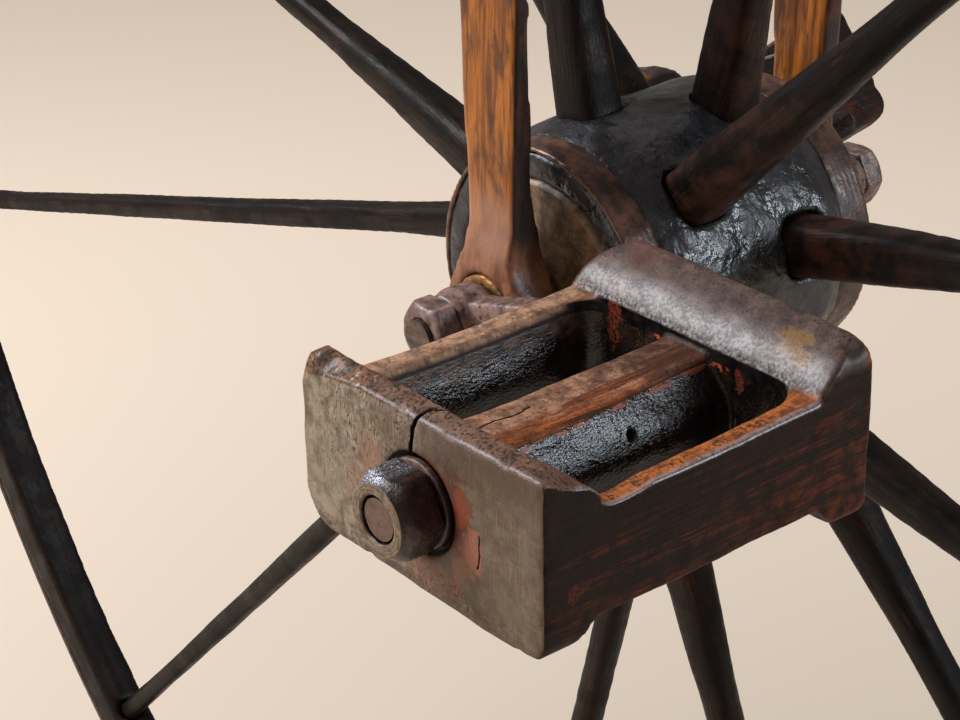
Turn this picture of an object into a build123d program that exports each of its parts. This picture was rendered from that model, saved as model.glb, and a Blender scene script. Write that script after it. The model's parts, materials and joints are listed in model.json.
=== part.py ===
from build123d import *
from math import cos, degrees, radians, sin, sqrt
import os

# Front driving wheel of an early velocipede, with its fork, cranks and carved
# wooden block pedals. X points forward, Y along the axle and Z up. The origin
# is on the shoulder where the steering stem leaves the fork crown. The near
# side is -Y. All sizes are in millimetres.

# Wheel
tyre_r = 527.0
tyre_t = 3.0
rim_w = 18.0
felloe_depth = 16.0
felloe_joint = 0.3
spoke_count = 12
spokes_per_felloe = 2
spoke_first_angle = 15.0
spoke_row_y = 18.0
spoke_root_w = 18.5
spoke_root_t = 17.0
spoke_waist_at = 150.0
spoke_waist_w = 12.5
spoke_waist_t = 11.5
spoke_tip_w = 9.0
spoke_tip_t = 8.5
spoke_corner = 0.28
spoke_nave_tenon = 13.0
spoke_rim_tenon = 9.0
# How far each hand-fitted spoke stands from its even place, in degrees
spoke_turns = [-1.5, -0.3, 2.2, 0.0, 0.0, 0.9, 0.6, 0.2, 2.6, 3.8, 1.4, -0.3]

# Nave
nave_l = 98.0
nave_r = 46.0
nave_belly = 3.0
nave_end_recess = 0.8
band_w = 13.0
band_t = 1.6
cap_r = 36.5
cap_lip = 4.0
cap_t = 7.0

# Axle, bushes and nuts
axle_r = 9.0
axle_seat_r = 6.8
axle_stub = 1.5
axle_thread_r = 5.5
bush_wall = 3.0
running_gap = 0.05
axle_nut_flats = 19.0
axle_nut_t = 8.5

# Fork
stem_r = 13.0
stem_l = 150.0
stem_thread_r = 9.0
stem_thread_l = 24.0
stem_tenon_l = 14.0
collar_r = 21.0
collar_t = 8.0
crown_t = 16.0
crown_bend_r = 26.0
crown_drop = 46.0
tyre_gap = 20.0
leg_face_y = 68.0
leg_w_top = 28.0
leg_w_mid = 26.5
leg_w_neck = 21.0
leg_mid_z = 105.0
leg_neck_z = 34.0
leg_t_top = 5.2
leg_t_neck = 9.0
leg_t_low = 12.5
leg_flare_r = 16.0
leg_ramp_z = 27.0
eye_r = 17.8
eye_t = 15.0
eye_proud = 3.0
eye_bevel = 2.4

# Cranks
crank_l = 127.0
crank_angle = 15.5
crank_gap = 1.2
crank_t = 9.5
crank_boss_extra = 4.3
crank_big_r = 11.0
crank_small_r = 13.0
crank_root_w = 14.0
crank_tip_w = 19.0

# Pedals
pedal_l = 104.5
pedal_w = 89.0
pedal_top = 23.8
pedal_foot = 24.5
pedal_gap = 5.5
plate_top_t = 7.0
plate_root_t = 9.0
inner_plate_t = 10.0
inner_plate_root_t = 22.0
inner_plate_proud = 1.0
rail_w = 8.0
rail_top = 13.0
rail_bottom = 16.5
rail_round = 2.4
slot_corner_r = 7.0
bar_w = 20.5
bar_top = 11.6
bar_bottom = 12.4
bar_round = 3.2
spindle_r = 6.0
spindle_collar_r = 10.5
spindle_stub = 1.5
washer_r = 12.4
washer_t = 2.6
washer_gap = 0.6
recess_depth = 1.6
pedal_nut_flats = 21.0
pedal_nut_t = 9.6
nut_bevel = 2.0
far_pedal_tilt = 38.0

# Worked out from the sizes above
felloe_outer_r = tyre_r - tyre_t
felloe_inner_r = felloe_outer_r - felloe_depth
axle_z = -(collar_t + crown_t + tyre_gap + tyre_r)
eye_out_y = leg_face_y + eye_proud
eye_in_y = eye_out_y - eye_t
crank_in_y = eye_out_y + crank_gap
crank_out_y = crank_in_y + crank_t
crank_face_y = crank_out_y + crank_boss_extra
pedal_in_y = crank_out_y + pedal_gap
pedal_out_y = pedal_in_y + pedal_l
nut_face_y = pedal_out_y - recess_depth + washer_t + pedal_nut_t
axle_end_y = crank_face_y + axle_nut_t + axle_stub
spindle_x = crank_l * cos(radians(crank_angle))
spindle_z = crank_l * sin(radians(crank_angle))
bar_inset = pedal_w / 2 - rail_w

os.makedirs("parts", exist_ok=True)


def on_axle(shape):
    # Moves a shape made round the origin to the axle's height
    return Pos(0, 0, axle_z) * shape


def turned_ring(r_out, r_in, y_low, y_high):
    # A ring or disc about the Y axis
    ring = Circle(r_out) - Circle(r_in) if r_in else Circle(r_out)
    return extrude(Plane.XZ.offset(-y_low) * ring, amount=y_high - y_low, dir=(0, 1, 0))


def side_plate(sketch, y_low, y_high):
    # Extrudes a sketch drawn in X and Z from one Y to another
    return extrude(Plane.XZ.offset(-y_low) * sketch, amount=y_high - y_low, dir=(0, 1, 0))


def rounded_face(points):
    # Closed outline from rows of x, y and corner radius
    corners = [(x, y) for x, y, radius in points]
    radii = [radius for x, y, radius in points]
    return make_face(FilletPolyline(*corners, radius=radii, close=True))


def hex_nut(flats, y_low, y_high, bore_r):
    # Hexagon with worn, turned-down corners on its outer face
    across_corners = flats / 2 / cos(radians(30))
    body = side_plate(RegularPolygon(across_corners, 6), y_low, y_high)
    crown = revolve(Plane.XY * Polygon(
        (0, y_low), (flats / 2 - nut_bevel / 2, y_low), (across_corners, y_low + nut_bevel),
        (across_corners, y_high), (0, y_high), align=None), axis=Axis.Y)
    return (body & crown) - turned_ring(bore_r, 0, y_low, y_high)


# Spokes

nave_belly_r = nave_r + nave_belly
spoke_start = nave_r - spoke_nave_tenon
spoke_tip = felloe_inner_r + spoke_rim_tenon


def spoke_angle(index):
    return spoke_first_angle + 360 / spoke_count * index + spoke_turns[index]


def spoke_y(index, radius):
    # Each spoke leans from its own row on the nave to the middle of the rim
    row_y = spoke_row_y if index % 2 == 0 else -spoke_row_y
    return row_y * (spoke_tip - radius) / (spoke_tip - spoke_start)


def across_spoke(index, radius):
    # Plane square to the radius on a spoke's centre line, with its x along the axle
    angle = radians(spoke_angle(index))
    out = Vector(cos(angle), 0, sin(angle))
    return Plane(origin=out * radius + Vector(0, spoke_y(index, radius), 0), x_dir=(0, 1, 0), z_dir=out)


def spoke(index):
    sections = [
        (spoke_start, spoke_root_w, spoke_root_t),
        (nave_belly_r, spoke_root_w, spoke_root_t),
        (spoke_waist_at, spoke_waist_w, spoke_waist_t),
        (felloe_inner_r, spoke_tip_w, spoke_tip_t),
        (spoke_tip, spoke_tip_w, spoke_tip_t),
    ]
    rows = [across_spoke(index, radius) * RectangleRounded(thick, width, spoke_corner * min(thick, width))
            for radius, width, thick in sections]
    return loft(rows, ruled=True)


def mortise(index, radius, reach, width, thick):
    # Straight-sided hole that just takes a spoke's rounded tenon
    nick = spoke_corner * min(thick, width) * (2 - sqrt(2))
    w, t = width / 2, thick / 2
    outline = Polygon((-t, nick - w), (nick - t, -w), (t - nick, -w), (t, nick - w),
                      (t, w - nick), (t - nick, w), (nick - t, w), (-t, w - nick), align=None)
    low, high = across_spoke(index, radius), across_spoke(index, radius + reach)
    lean = high.origin - low.origin
    return extrude(low * outline, amount=lean.length, dir=lean)


spokes = [spoke(index) for index in range(spoke_count)]

# Nave, its iron bands and end caps

half_nave = nave_l / 2
band_seat_r = nave_r - band_t
band_y = half_nave - band_w
end_y = half_nave - nave_end_recess
seat_y = half_nave - cap_lip
belly_y = spoke_row_y + spoke_root_t / 2 + 1
half_profile = [(axle_r, seat_y), (cap_r, seat_y), (cap_r, end_y), (band_seat_r, end_y), (band_seat_r, band_y),
                (nave_r, band_y), (nave_belly_r, belly_y)]
nave = revolve(Plane.XY * Polygon(
    *[(r, -y) for r, y in half_profile], *[(r, y) for r, y in reversed(half_profile)], align=None), axis=Axis.Y)
for index in range(spoke_count):
    nave -= mortise(index, spoke_start, nave_belly_r + 5 - spoke_start, spoke_root_w, spoke_root_t)

band = turned_ring(nave_r, band_seat_r, -half_nave, -band_y)
band = chamfer(band.edges().filter_by(GeomType.CIRCLE).sort_by(Axis.Y)[:2].sort_by(SortBy.LENGTH)[-1], band_t / 2)
cap = revolve(Plane.XY * Polygon(
    (axle_r, -seat_y), (cap_r, -seat_y), (cap_r - 2, -half_nave + 1), (axle_r, -seat_y - cap_t + 3),
    align=None), axis=Axis.Y)

# Felloes and tyre

felloe_count = spoke_count // spokes_per_felloe
felloe_span = 360 / felloe_count


def felloe(index):
    # Curved rim block between two joints, mortised for its spokes
    start = spoke_first_angle - 180 / spoke_count + felloe_span * index
    trim = degrees(felloe_joint / 2 / felloe_outer_r)
    low = radians(start + trim)
    high = radians(start + felloe_span - trim)
    middle = (low + high) / 2
    reach = felloe_outer_r * 1.3
    wedge = Polygon((0, 0), (reach * cos(low), reach * sin(low)), (reach * cos(middle), reach * sin(middle)),
                    (reach * cos(high), reach * sin(high)), align=None)
    ring = (Circle(felloe_outer_r) - Circle(felloe_inner_r)) & wedge
    block = extrude(Plane((0, 0, 0), x_dir=(1, 0, 0), z_dir=(0, -1, 0)) * ring, amount=rim_w / 2, both=True)
    for number in range(spokes_per_felloe * index, spokes_per_felloe * (index + 1)):
        block -= mortise(number, felloe_inner_r - 5, spoke_rim_tenon + 5, spoke_tip_w, spoke_tip_t)
    return block


tyre = turned_ring(tyre_r, felloe_outer_r, -rim_w / 2, rim_w / 2)

# Axle and what is fixed on it

axle = turned_ring(axle_r, 0, -crank_in_y, crank_in_y)
axle += turned_ring(axle_seat_r, 0, -crank_face_y, crank_face_y)
axle += turned_ring(axle_thread_r, 0, -axle_end_y, axle_end_y)
bush = turned_ring(axle_r + running_gap + bush_wall, axle_r + running_gap, -eye_out_y, -eye_in_y)
axle_nut = hex_nut(axle_nut_flats, -crank_face_y - axle_nut_t, -crank_face_y, axle_thread_r)


def crank():
    # Forged arm with a thick eye at the axle and a smaller one at the pedal
    reach = Vector(crank_l, 0, 0)
    arm = Polygon((0, crank_root_w / 2), (reach.X, crank_tip_w / 2), (reach.X, -crank_tip_w / 2),
                  (0, -crank_root_w / 2), align=None)
    flat = Circle(crank_big_r) + arm + Pos(reach.X, 0) * Circle(crank_small_r)
    body = side_plate(Rot(0, 0, crank_angle) * flat, -crank_out_y, -crank_in_y)
    boss = turned_ring(crank_big_r - 1, 0, -crank_face_y, -crank_out_y)
    body = body + boss - turned_ring(axle_seat_r, 0, -crank_face_y, -crank_in_y)
    return body - Pos(spindle_x, 0, spindle_z) * turned_ring(spindle_r, 0, -crank_face_y, -crank_in_y)


# Pedal spindle, washer and nut, made about the spindle's own line

spindle = turned_ring(spindle_r, 0, -nut_face_y - spindle_stub, -crank_in_y)
spindle += turned_ring(spindle_collar_r, 0, -pedal_in_y + running_gap * 4, -crank_out_y)
washer = turned_ring(washer_r, spindle_r, -nut_face_y + pedal_nut_t, -nut_face_y + pedal_nut_t + washer_t - running_gap * 2)
pedal_nut = hex_nut(pedal_nut_flats, -nut_face_y, -nut_face_y + pedal_nut_t, spindle_r)


def pedal_block():
    # One carved block: two end plates, two rails and a bar round the spindle
    inner_start = pedal_l - inner_plate_root_t
    inner_top = pedal_top + inner_plate_proud
    side = rounded_face([
        (0, -pedal_foot, 2.5), (0, pedal_top, 1.2), (plate_top_t, pedal_top, 2.0),
        (plate_root_t, rail_top, 7.0), (inner_start, rail_top, 6.0),
        (pedal_l - inner_plate_t, inner_top, 8.0), (pedal_l, inner_top, 5.0), (pedal_l, -pedal_foot, 4.0),
        (pedal_l - inner_plate_t, -pedal_foot, 3.0), (pedal_l - inner_plate_t - 7, -rail_bottom, 6.0),
        (plate_root_t + 6, -rail_bottom, 6.0), (plate_root_t, -pedal_foot, 3.0)])
    block = extrude(Plane.YZ * side, amount=pedal_w / 2, both=True)
    half_w = pedal_w / 2
    outer_face = rounded_face([
        (-half_w, -pedal_foot, 9.0), (-half_w, pedal_top, 6.0), (half_w, pedal_top, 1.5), (half_w, -pedal_foot, 6.5)])
    inner_face = rounded_face([
        (-half_w, -pedal_foot, 5.0), (-half_w, inner_top, 12.0), (half_w, inner_top, 8.0), (half_w, -pedal_foot, 5.0)])
    middle = pedal_l / 2
    block &= side_plate(outer_face, 0, middle) + side_plate(inner_face, middle, pedal_l)
    slot_l = inner_start - plate_root_t
    flare = bar_inset + rail_round
    tall = pedal_foot * 2
    across = rounded_face([
        (-flare, -tall, 0.0), (-flare, -rail_bottom, 0.0), (-bar_inset, rail_round - rail_bottom, 3.0),
        (-bar_inset, rail_top - rail_round, 3.0), (-flare, rail_top, 0.0), (-flare, tall, 0.0),
        (flare, tall, 0.0), (flare, rail_top, 0.0), (bar_inset, rail_top - rail_round, 3.0),
        (bar_inset, rail_round - rail_bottom, 3.0), (flare, -rail_bottom, 0.0), (flare, -tall, 0.0)])
    window = Pos(0, plate_root_t + slot_l / 2) * RectangleRounded(2 * flare, slot_l, slot_corner_r + rail_round)
    through = extrude(Plane.XY.offset(-tall) * window, amount=2 * tall)
    block -= side_plate(across, 0, pedal_l) & through
    bar = Pos(0, (bar_top - bar_bottom) / 2) * RectangleRounded(bar_w, bar_top + bar_bottom, bar_round)
    block += side_plate(bar, plate_root_t / 2, pedal_l - inner_plate_t)
    block -= turned_ring(spindle_r + running_gap, 0, 0, pedal_l)
    block -= turned_ring(washer_r + washer_gap, 0, 0, recess_depth)
    return block


pedal = Pos(0, -pedal_out_y, 0) * pedal_block()

# Fork: stem, crown and the two flat legs with their eyes

stem = revolve(Plane.XZ * Polygon(
    (0, -stem_tenon_l), (stem_r - 2, -stem_tenon_l), (stem_r - 2, 0), (stem_r, 0), (stem_r, stem_l),
    (stem_thread_r, stem_l + 2), (stem_thread_r, stem_l + stem_thread_l), (0, stem_l + stem_thread_l),
    align=None), axis=Axis.Z)

crown_low_z = -(collar_t + crown_drop)
arch_outer = rounded_face([
    (-leg_face_y, crown_low_z, 0.0), (-leg_face_y, -collar_t, crown_bend_r),
    (leg_face_y, -collar_t, crown_bend_r), (leg_face_y, crown_low_z, 0.0)])
arch_half = leg_face_y - leg_t_top
arch_inner = rounded_face([
    (-arch_half, crown_low_z - 1, 0.0), (-arch_half, -collar_t - crown_t, crown_bend_r - leg_t_top),
    (arch_half, -collar_t - crown_t, crown_bend_r - leg_t_top), (arch_half, crown_low_z - 1, 0.0)])
crown = extrude(Plane.YZ * (arch_outer - arch_inner), amount=leg_w_top / 2, both=True)
crown += Pos(0, 0, -collar_t) * extrude(Circle(collar_r), amount=collar_t)
crown -= Pos(0, 0, -stem_tenon_l) * extrude(Circle(stem_r - 2), amount=stem_tenon_l)


def fork_leg():
    # Flat bar that narrows to a neck, then flares and thickens into its eye
    top_z = crown_low_z - axle_z
    half_wide = [(leg_w_top / 2, top_z), (leg_w_mid / 2, leg_mid_z), (leg_w_neck / 2, leg_neck_z), (leg_w_neck / 2, 0)]
    outline = Circle(eye_r) + Polygon(
        *[(-x, z) for x, z in half_wide], *[(x, z) for x, z in reversed(half_wide)], align=None)
    corners = outline.vertices().filter_by(lambda corner: 1 < corner.Y < eye_r)
    outline = fillet(corners, leg_flare_r)
    ramp_y = eye_out_y - eye_proud / 6
    thick = Plane.YZ * Polygon(
        (-ramp_y, -eye_r), (-ramp_y, eye_r), (-leg_face_y, leg_ramp_z), (-leg_face_y, top_z),
        (-leg_face_y + leg_t_top, top_z), (-leg_face_y + leg_t_top, leg_mid_z), (-leg_face_y + leg_t_neck, leg_neck_z),
        (-leg_face_y + leg_t_low, eye_r), (-leg_face_y + leg_t_low, -eye_r), align=None)
    bar = extrude(thick, amount=leg_w_top, both=True) & side_plate(outline, -eye_out_y, -eye_in_y)
    eye = revolve(Plane.XY * Polygon(
        (0, -eye_out_y), (eye_r - eye_bevel, -eye_out_y), (eye_r, -leg_face_y), (eye_r, -eye_in_y - 1.5),
        (eye_r - 1.5, -eye_in_y), (0, -eye_in_y), align=None), axis=Axis.Y)
    return bar + eye - turned_ring(axle_r + running_gap + bush_wall, 0, -eye_out_y, -eye_in_y)


# Every piece with a near and a far copy is made for the near side and mirrored

paired = {
    "fork_leg": fork_leg(),
    "axle_bush": bush,
    "nave_band": band,
    "nave_cap": cap,
    "axle_nut": axle_nut,
}
on_spindle = {
    "pedal_block": pedal,
    "pedal_spindle": spindle,
    "pedal_washer": washer,
    "pedal_nut": pedal_nut,
}
near_crank = crank()

nodes = {
    "steering_stem": stem,
    "fork_crown": crown,
    "wheel_nave": on_axle(nave),
    "iron_tyre": on_axle(tyre),
    "wheel_axle": on_axle(axle),
    "crank_near": on_axle(near_crank),
    "crank_far": on_axle(Rot(0, 180, 0) * mirror(near_crank, about=Plane.XZ)),
}
for name, shape in paired.items():
    nodes[name + "_near"] = on_axle(shape)
    nodes[name + "_far"] = on_axle(mirror(shape, about=Plane.XZ))
for name, shape in on_spindle.items():
    nodes[name + "_near"] = on_axle(Pos(spindle_x, 0, spindle_z) * shape)
    # The far pedal hangs tilted on its spindle, as it came to rest
    tilt = Rot(0, -far_pedal_tilt, 0) if name == "pedal_block" else Rot(0, 0, 0)
    nodes[name + "_far"] = on_axle(Pos(-spindle_x, 0, -spindle_z) * tilt * mirror(shape, about=Plane.XZ))
for index, shape in enumerate(spokes):
    nodes[f"spoke_{index + 1:02d}"] = on_axle(shape)
for index in range(felloe_count):
    nodes[f"felloe_{index + 1}"] = on_axle(felloe(index))

for name, shape in nodes.items():
    export_step(shape, f"parts/{name}.step")
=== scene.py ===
import json
import math

import bmesh
import bpy
from mathutils import Matrix, Vector, noise


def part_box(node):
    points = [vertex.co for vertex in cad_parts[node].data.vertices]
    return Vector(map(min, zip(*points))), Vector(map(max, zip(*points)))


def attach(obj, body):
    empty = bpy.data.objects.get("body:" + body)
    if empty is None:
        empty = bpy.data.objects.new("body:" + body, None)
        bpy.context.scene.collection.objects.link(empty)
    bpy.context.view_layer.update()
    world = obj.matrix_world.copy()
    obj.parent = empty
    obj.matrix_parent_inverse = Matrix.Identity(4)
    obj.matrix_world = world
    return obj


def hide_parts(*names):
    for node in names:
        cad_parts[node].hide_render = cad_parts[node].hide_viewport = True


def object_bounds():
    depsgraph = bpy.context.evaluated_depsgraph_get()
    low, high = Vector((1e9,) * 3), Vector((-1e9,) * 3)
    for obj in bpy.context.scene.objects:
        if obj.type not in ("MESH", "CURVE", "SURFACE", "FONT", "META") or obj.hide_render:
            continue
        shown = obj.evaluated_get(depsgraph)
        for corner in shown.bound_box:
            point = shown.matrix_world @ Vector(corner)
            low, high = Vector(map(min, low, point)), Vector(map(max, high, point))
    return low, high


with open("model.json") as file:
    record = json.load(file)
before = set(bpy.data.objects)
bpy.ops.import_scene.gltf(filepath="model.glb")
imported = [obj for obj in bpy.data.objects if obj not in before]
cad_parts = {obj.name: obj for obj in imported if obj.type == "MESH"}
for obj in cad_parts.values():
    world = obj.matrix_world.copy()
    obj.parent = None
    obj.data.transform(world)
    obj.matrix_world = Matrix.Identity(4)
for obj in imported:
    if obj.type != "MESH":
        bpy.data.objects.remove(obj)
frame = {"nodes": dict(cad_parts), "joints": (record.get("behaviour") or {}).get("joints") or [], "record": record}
cad_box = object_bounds()
nodes = frame["nodes"]
joints = {joint["name"]: joint for joint in frame["joints"]}
body_of = {name: body for body, names in frame["record"]["behaviour"]["bodies"].items() for name in names}
slot_of = {entry["node"]: entry["material_slot"] for entry in frame["record"]["subparts"]}

MM = 0.001
SIDES = {"near": -1, "far": 1}


def outer_end(kind, side):
    # How far out along Y the piece of that side reaches
    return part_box(f"{kind}_{side}")[0 if side == "near" else 1].y


# Places taken from the frame, in metres
AXLE = Vector(joints["wheel_spin"]["pos_m"])
AXLE_LINE = Vector((0, 1, 0))
SPINDLE = {side: Vector(joints[f"pedal_{side}_spin"]["pos_m"]) for side in SIDES}
PEDAL = {side: Vector((SPINDLE[side].x, outer_end("pedal_block", side), SPINDLE[side].z)) for side in SIDES}
GROUND = cad_box[0][2]
# Tyre and felloe together, inside the tyre's radius
RIM_DEPTH = 19 * MM
RIM_INNER = AXLE.z - GROUND - RIM_DEPTH
# The far pedal came to rest tilted on its spindle
PEDAL_TILT = {"near": 0, "far": math.radians(38)}

# The photograph's camera, placed from the near pedal's spindle end
FOCAL_PX = 2500
PHOTO_WIDTH_PX = 960
SENSOR_MM = 36
NEAREST, FARTHEST = 0.05, 40
EYE_FROM_SPINDLE_END = Vector((0.3976, -0.2923, 0.2886))
CAMERA_RIGHT = Vector((0.6387, 0.7692, -0.0187))
CAMERA_UP = Vector((-0.3353, 0.3001, 0.8931))

# A round floor of cream paper, in linear colours: under the object, farther out, and the dark colour that it
# has there for the lamps alone
FLOOR_RADIUS = 60
FLOOR_DROP = 0.5 * MM
CREAM_NEAR = (0.6, 0.5, 0.405, 1)
CREAM_FAR = (0.9, 0.75, 0.605, 1)
CREAM_UNLIT = (0.1, 0.085, 0.07, 1)
# How strongly the paper lights itself under the object, and what comes on top of that farther out
PAPER_GLOW, GLOW_FARTHER_OUT = 0.26, 0.59
# The world: its colour, its strength as light, and what comes on top for the camera and in reflections
DAYLIGHT = (1, 0.94, 0.88, 1)
DAYLIGHT_STRENGTH, MORE_SEEN, MORE_MIRRORED = 0.14, 0.71, 0.12

# Lamps, all aimed at the near pedal: place from it, size, watts and colour
LAMPS = {
    "window": ((-1.3, -0.85, 1.15), (0.95, 1), 50, (0.94, 0.96, 1)),
    "side_window": ((1.5, 1.12, 0.62), (0.4, 0.6), 18, (0.82, 0.91, 1)),
    "fill": ((-0.75, -1.9, 0.55), (1.3, 1.1), 6, (1, 0.92, 0.82)),
}


# Small helpers

def link_new(obj):
    bpy.context.scene.collection.objects.link(obj)
    return obj


def as_object(form, name):
    mesh = bpy.data.meshes.new(name)
    form.to_mesh(mesh)
    form.free()
    return link_new(bpy.data.objects.new(name, mesh))


def discard(obj):
    mesh = obj.data
    bpy.data.objects.remove(obj)
    bpy.data.meshes.remove(mesh)


def ramp(low, high, value):
    # From 0 at low to 1 at high, either way round
    share = min(max((value - low) / (high - low), 0), 1)
    return share * share * (3 - 2 * share)


def plateau(low, high, down, foot, value):
    # Up from 0 to 1 between low and high, level, and down again between down and foot
    return ramp(low, high, value) * ramp(foot, down, value)


def between(rows, value):
    # Reads a table of (place, height) rows, with straight lines between its rows
    if value <= rows[0][0]:
        return rows[0][1]
    for (x0, y0), (x1, y1) in zip(rows, rows[1:]):
        if value <= x1:
            return y0 + (y1 - y0) * (value - x0) / (x1 - x0)
    return rows[-1][1]


# Camera, stage and light

def place_camera():
    end = Vector((SPINDLE["near"].x, outer_end("pedal_spindle", "near"), SPINDLE["near"].z))
    camera = link_new(bpy.data.objects.new("camera", bpy.data.cameras.new("camera")))
    right = CAMERA_RIGHT.normalized()
    up = (CAMERA_UP - right * CAMERA_UP.dot(right)).normalized()
    turn = Matrix((right, up, right.cross(up))).transposed()
    camera.matrix_world = Matrix.Translation(end + EYE_FROM_SPINDLE_END) @ turn.to_4x4()
    camera.data.lens = FOCAL_PX / PHOTO_WIDTH_PX * SENSOR_MM
    camera.data.sensor_width = SENSOR_MM
    camera.data.clip_start = NEAREST
    camera.data.clip_end = FARTHEST
    bpy.context.scene.camera = camera


def make_stage():
    # A wide round floor: beyond its rim the world has the same colour
    form = bmesh.new()
    bmesh.ops.create_circle(form, cap_ends=True, segments=96, radius=FLOOR_RADIUS)
    floor = as_object(form, "floor")
    floor.location.z = GROUND - FLOOR_DROP
    floor.data.materials.append(floor_paper())


def make_lamp(name, place, size, power, colour):
    lamp = bpy.data.lights.new(name, "AREA")
    lamp.shape = "RECTANGLE"
    lamp.size, lamp.size_y = size
    lamp.energy = power
    lamp.color = colour
    obj = link_new(bpy.data.objects.new(name, lamp))
    stand = SPINDLE["near"] + Vector(place)
    aim = (SPINDLE["near"] - stand).to_track_quat("-Z", "Y")
    obj.matrix_world = Matrix.Translation(stand) @ aim.to_matrix().to_4x4()


def light_scene():
    world = bpy.data.worlds.new("studio")
    bpy.context.scene.world = world
    world.use_nodes = True
    sky = world.node_tree.nodes["Background"]
    rays = new_node(world.node_tree, "ShaderNodeLightPath")
    seen, mirrored = Field(rays.outputs["Is Camera Ray"]), Field(rays.outputs["Is Glossy Ray"])
    feed(sky.inputs["Color"], mix(DAYLIGHT, CREAM_FAR, seen))
    feed(sky.inputs["Strength"], DAYLIGHT_STRENGTH + seen * MORE_SEEN + mirrored * MORE_MIRRORED)
    for name, settings in LAMPS.items():
        make_lamp(name, *settings)


# Nodes, written as sums and short calls

def paint(red, green, blue):
    # A colour from a paint chart, 0 to 255 a channel, as the shaders take it
    channels = [value / 255 for value in (red, green, blue)]
    return (*[value / 12.92 if value < 0.04 else ((value + 0.055) / 1.055) ** 2.4 for value in channels], 1)


class Field:
    # A number, colour or vector that changes over a surface
    def __init__(self, socket):
        self.socket = socket

    def __add__(self, other):
        return maths("ADD", self, other)

    def __radd__(self, other):
        return maths("ADD", other, self)

    def __sub__(self, other):
        return maths("SUBTRACT", self, other)

    def __rsub__(self, other):
        return maths("SUBTRACT", other, self)

    def __mul__(self, other):
        return maths("MULTIPLY", self, other)

    def __rmul__(self, other):
        return maths("MULTIPLY", other, self)

    def __abs__(self):
        return maths("ABSOLUTE", self)


def feed(socket, value):
    if isinstance(value, Field):
        socket.id_data.links.new(value.socket, socket)
    else:
        socket.default_value = value


def new_node(tree, kind, **settings):
    node = tree.nodes.new(kind)
    for name, value in settings.items():
        setattr(node, name, value)
    return node


def fed_node(kind, values, **settings):
    # A node in the tree of the fields among the values, which go to its first inputs
    tree = next(value.socket.id_data for value in values if isinstance(value, Field))
    node = new_node(tree, kind, **settings)
    for socket, value in zip(node.inputs, values):
        feed(socket, value)
    return node


def maths(operation, *values):
    return Field(fed_node("ShaderNodeMath", values, operation=operation).outputs["Value"])


def vector_maths(operation, *values):
    node = fed_node("ShaderNodeVectorMath", values, operation=operation)
    return Field(node.outputs["Value" if operation == "LENGTH" else "Vector"])


def vector_from(*values):
    return Field(fed_node("ShaderNodeCombineXYZ", values).outputs["Vector"])


def axes_of(vector):
    return [Field(socket) for socket in fed_node("ShaderNodeSeparateXYZ", [vector]).outputs]


def capped(value):
    return maths("MINIMUM", value, 1)


def larger(first, second):
    return maths("MAXIMUM", first, second)


def radius_of(x, z):
    return maths("SQRT", x * x + z * z)


def stretched(point, *scales):
    # Patterns read with this vector are long where its scale is small
    return vector_maths("MULTIPLY", point, scales)


def about(middle, field, spread):
    # The middle value, give or take half of the spread
    return middle + (field - 0.5) * spread


def rise(value, low, high):
    # From 0 at low to 1 at high, either way round
    node = fed_node("ShaderNodeMapRange", [value, low, high], interpolation_type="SMOOTHSTEP")
    return Field(node.outputs["Result"])


def mix_number(under, over, share):
    return under + (over - under) * share


def mix(under, over, share):
    # Three numbers are a colour from the paint chart
    node = new_node(share.socket.id_data, "ShaderNodeMix", data_type="RGBA")
    feed(node.inputs[0], share)
    for socket, tone in zip(node.inputs[6:8], (under, over)):
        feed(socket, tone if isinstance(tone, Field) or len(tone) == 4 else paint(*tone))
    return Field(node.outputs[2])


def coated(colour, *coats):
    # Lays coats over a colour, one after another, each a (colour, share) pair
    for tone, share in coats:
        colour = mix(colour, tone, share)
    return colour


def cloud(vector, size, detail=4, roughness=0.62, distortion=0):
    # Soft patches about as wide as the size, from 0 to 1
    node = new_node(vector.socket.id_data, "ShaderNodeTexNoise")
    feed(node.inputs["Vector"], vector)
    feed(node.inputs["Scale"], maths("DIVIDE", 1, size) if isinstance(size, Field) else 1 / size)
    node.inputs["Detail"].default_value = detail
    node.inputs["Roughness"].default_value = roughness
    node.inputs["Distortion"].default_value = distortion
    return Field(node.outputs[0])


# Effects that more than one finish uses

def build_effect(name, wiring, gives, **takes):
    # A node group that takes a vector, and the settings named here with what they start from
    tree = bpy.data.node_groups.new(name, "ShaderNodeTree")
    tree.interface.new_socket(name="Vector", in_out="INPUT", socket_type="NodeSocketVector")
    for label, value in takes.items():
        kind = "NodeSocketVector" if isinstance(value, tuple) else "NodeSocketFloat"
        tree.interface.new_socket(name=label, in_out="INPUT", socket_type=kind).default_value = value
    for label in gives:
        tree.interface.new_socket(name=label, in_out="OUTPUT", socket_type="NodeSocketFloat")
    incoming = new_node(tree, "NodeGroupInput")
    outgoing = new_node(tree, "NodeGroupOutput")
    results = wiring(*[Field(incoming.outputs[label]) for label in ("Vector", *takes)])
    for label, result in zip(gives, results):
        feed(outgoing.inputs[label], result)
    return tree


def effect(group, vector, **settings):
    node = new_node(vector.socket.id_data, "ShaderNodeGroup", node_tree=group)
    feed(node.inputs["Vector"], vector)
    for label, value in settings.items():
        feed(node.inputs[label], value)
    outputs = [Field(socket) for socket in node.outputs]
    return outputs[0] if len(outputs) == 1 else outputs


def wire_wear_and_shade(vector, size, reach):
    # Rubbed edges, and the hollow places, which the finishes darken as painted shade
    geometry = new_node(vector.socket.id_data, "ShaderNodeNewGeometry")
    bent = Field(geometry.outputs["Pointiness"]) + (cloud(vector, size, 3, 0.6) - 0.5) * 0.09
    return rise(bent, 0.53, reach + 0.53), rise(bent, 0.49, 0.43)


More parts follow.
